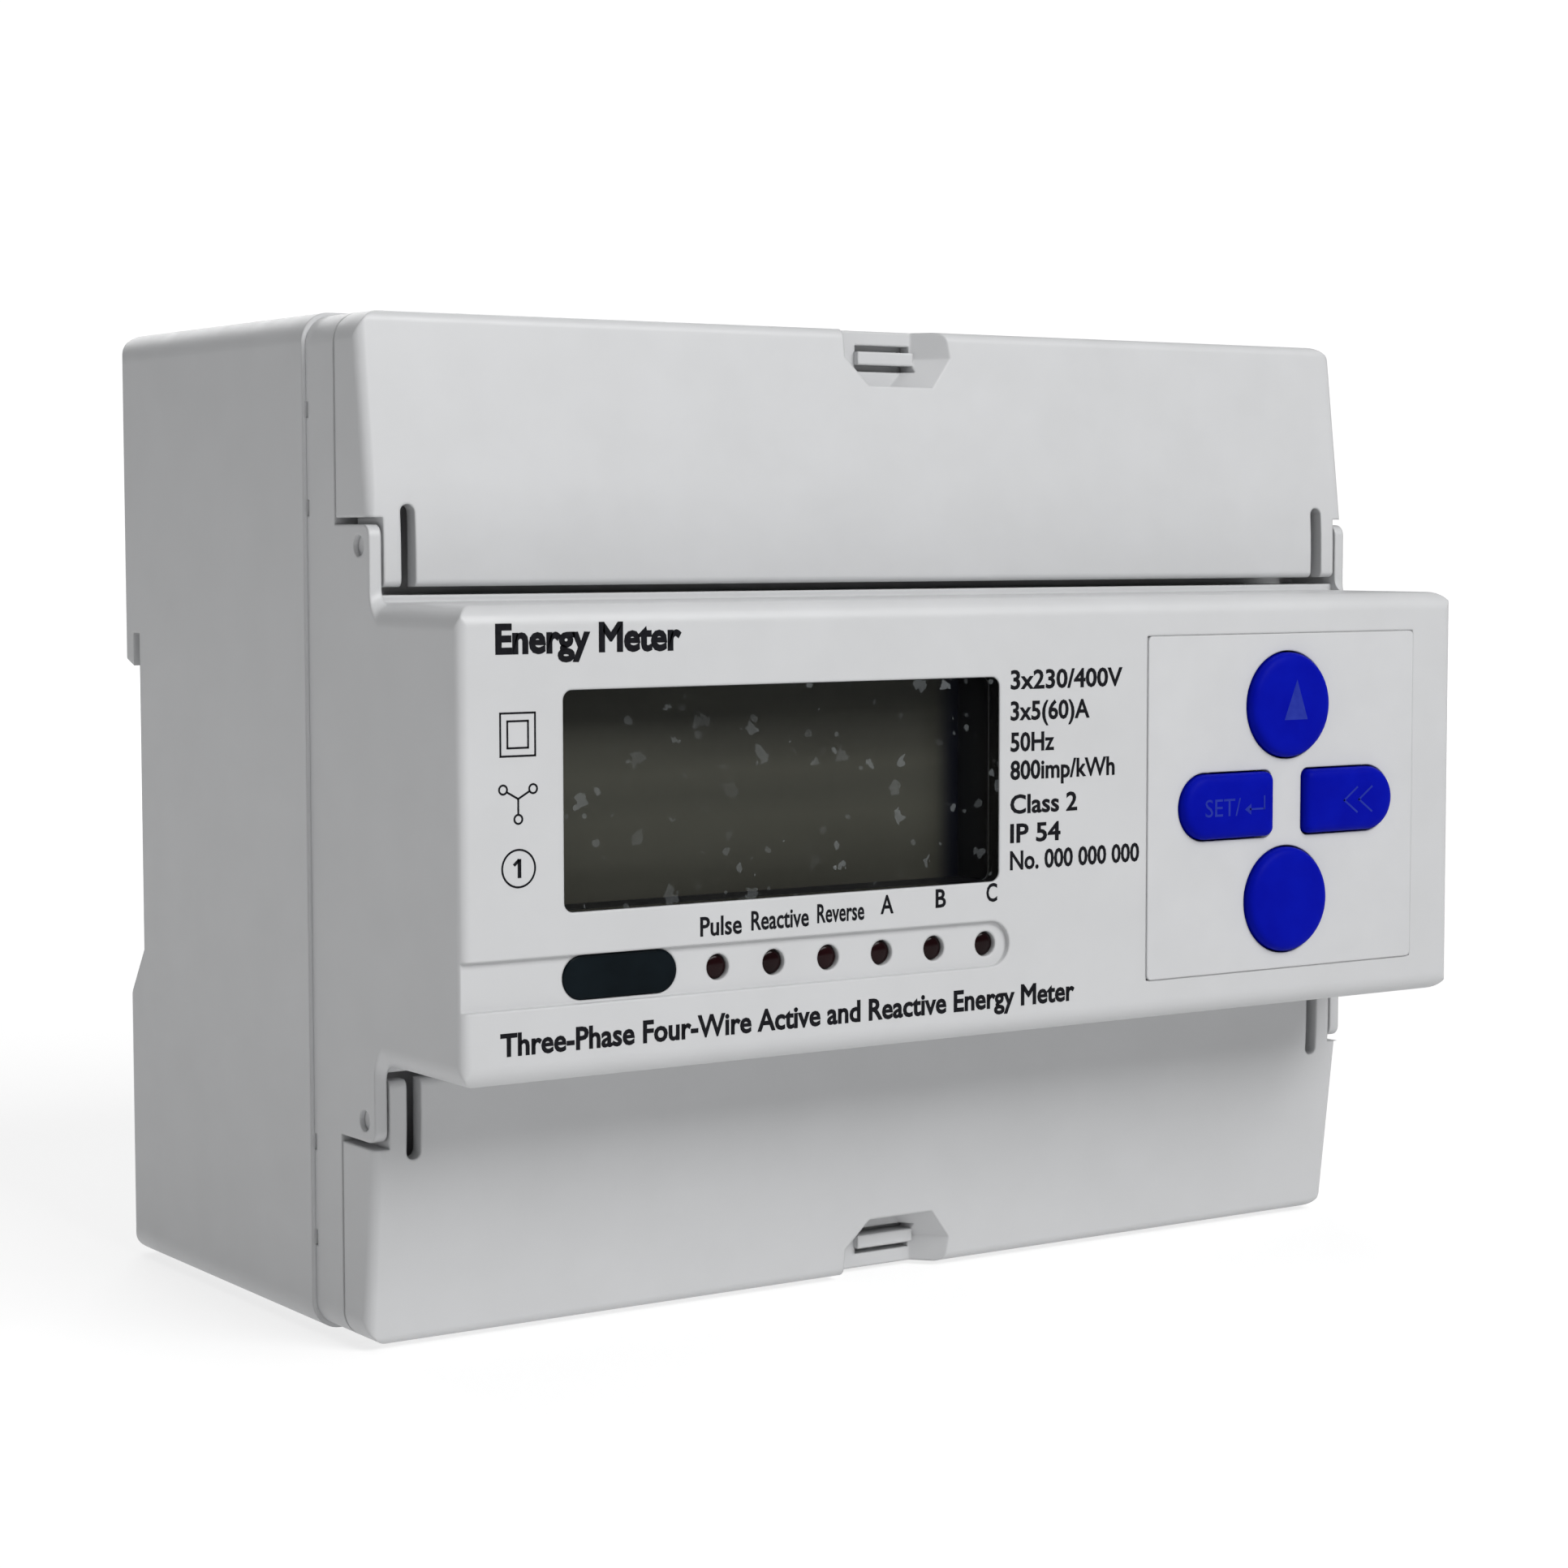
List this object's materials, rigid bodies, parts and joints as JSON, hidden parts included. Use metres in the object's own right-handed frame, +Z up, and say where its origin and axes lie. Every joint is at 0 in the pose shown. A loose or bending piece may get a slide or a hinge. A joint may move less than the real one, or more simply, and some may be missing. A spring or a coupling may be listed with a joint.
{
  "type": "smart electric meter",
  "caption": "Rail-mounted three-phase electric meter with a recessed display, indicator lamps, blue push keys and hinged terminal covers over clamp terminals.",
  "frame": {"origin": "middle of the lower face, under the centre of the overall box", "axes": "+X to the right seen from the front, +Y from the display to the rail, +Z up; the display looks along -Y"},
  "size_m": [0.1274, 0.0782, 0.102],
  "materials": {
    "housing": "satin light cool grey",
    "cover": "satin light cool grey",
    "clear": "clear polycarbonate",
    "ir_dark": "blue-black gloss",
    "keypad": "satin light cool grey",
    "key_blue": "satin royal blue",
    "black_plastic": "black",
    "board": "green solder mask",
    "lcd": "olive grey liquid crystal glass",
    "diffuser": "white diffuser",
    "lamp_red": "dark red lens",
    "ribbon": "pale",
    "core_blue": "blue potting case",
    "copper_tin": "plain brass",
    "steel": "zinc-plated",
    "tape_yellow": "insulating tape",
    "battery_wrap": "red sleeve",
    "grey_plastic": "dark grey",
    "green_plastic": "green"
  },
  "bodies": {
    "meter": {"back_housing": "housing", "front_housing": "housing", "display_window": "clear", "ir_window": "ir_dark", "keypad_plate": "keypad", "key_switches": "black_plastic", "display_board": "board", "lcd_frame": "black_plastic", "lcd_panel": "lcd", "lcd_backlight": "diffuser", "indicator_leds": "lamp_red", "ir_diodes": "ir_dark", "board_link": "ribbon", "main_board": "board", "current_transformers": "core_blue", "phase_busbars": "copper_tin", "neutral_busbar": "steel", "power_transformer": "tape_yellow", "capacitors": "black_plastic", "varistors": "core_blue", "circuit_chips": "black_plastic", "backup_battery": "battery_wrap", "terminal_block_top": "grey_plastic", "terminal_block_bottom": "grey_plastic", "signal_block": "green_plastic", "signal_screws": "steel", "board_screws": "steel", "clip_spring_left": "steel", "clip_spring_right": "steel"},
    "top_cover": {"top_cover": "cover"},
    "bottom_cover": {"bottom_cover": "cover"},
    "key_up": {"key_up": "key_blue", "plunger_up": "black_plastic"},
    "key_down": {"key_down": "key_blue", "plunger_down": "black_plastic"},
    "key_set": {"key_set": "key_blue", "plunger_set": "black_plastic"},
    "key_back": {"key_back": "key_blue", "plunger_back": "black_plastic"},
    "screw_top_1": {"screw_top_1": "steel"},
    "cage_top_1": {"cage_top_1": "copper_tin"},
    "screw_top_2": {"screw_top_2": "steel"},
    "cage_top_2": {"cage_top_2": "copper_tin"},
    "screw_top_3": {"screw_top_3": "steel"},
    "cage_top_3": {"cage_top_3": "copper_tin"},
    "screw_top_4": {"screw_top_4": "steel"},
    "cage_top_4": {"cage_top_4": "copper_tin"},
    "screw_bottom_1": {"screw_bottom_1": "steel"},
    "cage_bottom_1": {"cage_bottom_1": "copper_tin"},
    "screw_bottom_2": {"screw_bottom_2": "steel"},
    "cage_bottom_2": {"cage_bottom_2": "copper_tin"},
    "screw_bottom_3": {"screw_bottom_3": "steel"},
    "cage_bottom_3": {"cage_bottom_3": "copper_tin"},
    "screw_bottom_4": {"screw_bottom_4": "steel"},
    "cage_bottom_4": {"cage_bottom_4": "copper_tin"},
    "rail_clip_left": {"rail_clip_left": "black_plastic"},
    "rail_clip_right": {"rail_clip_right": "black_plastic"}
  },
  "joints": [
    {"name": "top_cover_hinge", "type": "hinge", "parent": "meter", "child": "top_cover", "pos_m": [0, -0.0179, 0.079], "axis": [1, 0, 0], "range_deg": [0, 95]},
    {"name": "bottom_cover_hinge", "type": "hinge", "parent": "meter", "child": "bottom_cover", "pos_m": [0, -0.0179, 0.023], "axis": [-1, 0, 0], "range_deg": [0, 95]},
    {"name": "key_up_press", "type": "slide", "parent": "meter", "child": "key_up", "axis": [0, 1, 0], "range_m": [0, 0.0006], "stiffness_N_per_m": 1500, "springref_m": -0.0004},
    {"name": "key_down_press", "type": "slide", "parent": "meter", "child": "key_down", "axis": [0, 1, 0], "range_m": [0, 0.0006], "stiffness_N_per_m": 1500, "springref_m": -0.0004},
    {"name": "key_set_press", "type": "slide", "parent": "meter", "child": "key_set", "axis": [0, 1, 0], "range_m": [0, 0.0006], "stiffness_N_per_m": 1500, "springref_m": -0.0004},
    {"name": "key_back_press", "type": "slide", "parent": "meter", "child": "key_back", "axis": [0, 1, 0], "range_m": [0, 0.0006], "stiffness_N_per_m": 1500, "springref_m": -0.0004},
    {"name": "screw_top_1_turn", "type": "hinge", "parent": "meter", "child": "screw_top_1", "pos_m": [-0.0505, 0, 0.087], "axis": [0, 1, 0], "range_deg": [0, 1800]},
    {"name": "cage_top_1_rise", "type": "slide", "parent": "meter", "child": "cage_top_1", "axis": [0, -1, 0], "range_m": [0, 0.004]},
    {"name": "screw_top_2_turn", "type": "hinge", "parent": "meter", "child": "screw_top_2", "pos_m": [-0.0325, 0, 0.087], "axis": [0, 1, 0], "range_deg": [0, 1800]},
    {"name": "cage_top_2_rise", "type": "slide", "parent": "meter", "child": "cage_top_2", "axis": [0, -1, 0], "range_m": [0, 0.004]},
    {"name": "screw_top_3_turn", "type": "hinge", "parent": "meter", "child": "screw_top_3", "pos_m": [-0.0145, 0, 0.087], "axis": [0, 1, 0], "range_deg": [0, 1800]},
    {"name": "cage_top_3_rise", "type": "slide", "parent": "meter", "child": "cage_top_3", "axis": [0, -1, 0], "range_m": [0, 0.004]},
    {"name": "screw_top_4_turn", "type": "hinge", "parent": "meter", "child": "screw_top_4", "pos_m": [0.0035, 0, 0.087], "axis": [0, 1, 0], "range_deg": [0, 1800]},
    {"name": "cage_top_4_rise", "type": "slide", "parent": "meter", "child": "cage_top_4", "axis": [0, -1, 0], "range_m": [0, 0.004]},
    {"name": "screw_bottom_1_turn", "type": "hinge", "parent": "meter", "child": "screw_bottom_1", "pos_m": [-0.0505, 0, 0.015], "axis": [0, 1, 0], "range_deg": [0, 1800]},
    {"name": "cage_bottom_1_rise", "type": "slide", "parent": "meter", "child": "cage_bottom_1", "axis": [0, -1, 0], "range_m": [0, 0.004]},
    {"name": "screw_bottom_2_turn", "type": "hinge", "parent": "meter", "child": "screw_bottom_2", "pos_m": [-0.0325, 0, 0.015], "axis": [0, 1, 0], "range_deg": [0, 1800]},
    {"name": "cage_bottom_2_rise", "type": "slide", "parent": "meter", "child": "cage_bottom_2", "axis": [0, -1, 0], "range_m": [0, 0.004]},
    {"name": "screw_bottom_3_turn", "type": "hinge", "parent": "meter", "child": "screw_bottom_3", "pos_m": [-0.0145, 0, 0.015], "axis": [0, 1, 0], "range_deg": [0, 1800]},
    {"name": "cage_bottom_3_rise", "type": "slide", "parent": "meter", "child": "cage_bottom_3", "axis": [0, -1, 0], "range_m": [0, 0.004]},
    {"name": "screw_bottom_4_turn", "type": "hinge", "parent": "meter", "child": "screw_bottom_4", "pos_m": [0.0035, 0, 0.015], "axis": [0, 1, 0], "range_deg": [0, 1800]},
    {"name": "cage_bottom_4_rise", "type": "slide", "parent": "meter", "child": "cage_bottom_4", "axis": [0, -1, 0], "range_m": [0, 0.004]},
    {"name": "rail_clip_left_slide", "type": "slide", "parent": "meter", "child": "rail_clip_left", "axis": [0, 0, -1], "range_m": [0, 0.004], "stiffness_N_per_m": 1500, "springref_m": -0.002, "deforming": ["clip_spring_left"]},
    {"name": "rail_clip_right_slide", "type": "slide", "parent": "meter", "child": "rail_clip_right", "axis": [0, 0, -1], "range_m": [0, 0.004], "stiffness_N_per_m": 1500, "springref_m": -0.002, "deforming": ["clip_spring_right"]}
  ],
  "couplings": [
    {"joint": "screw_top_1_turn", "follows": "cage_top_1_rise", "rad_per_m": 7854},
    {"joint": "screw_top_2_turn", "follows": "cage_top_2_rise", "rad_per_m": 7854},
    {"joint": "screw_top_3_turn", "follows": "cage_top_3_rise", "rad_per_m": 7854},
    {"joint": "screw_top_4_turn", "follows": "cage_top_4_rise", "rad_per_m": 7854},
    {"joint": "screw_bottom_1_turn", "follows": "cage_bottom_1_rise", "rad_per_m": 7854},
    {"joint": "screw_bottom_2_turn", "follows": "cage_bottom_2_rise", "rad_per_m": 7854},
    {"joint": "screw_bottom_3_turn", "follows": "cage_bottom_3_rise", "rad_per_m": 7854},
    {"joint": "screw_bottom_4_turn", "follows": "cage_bottom_4_rise", "rad_per_m": 7854}
  ]
}
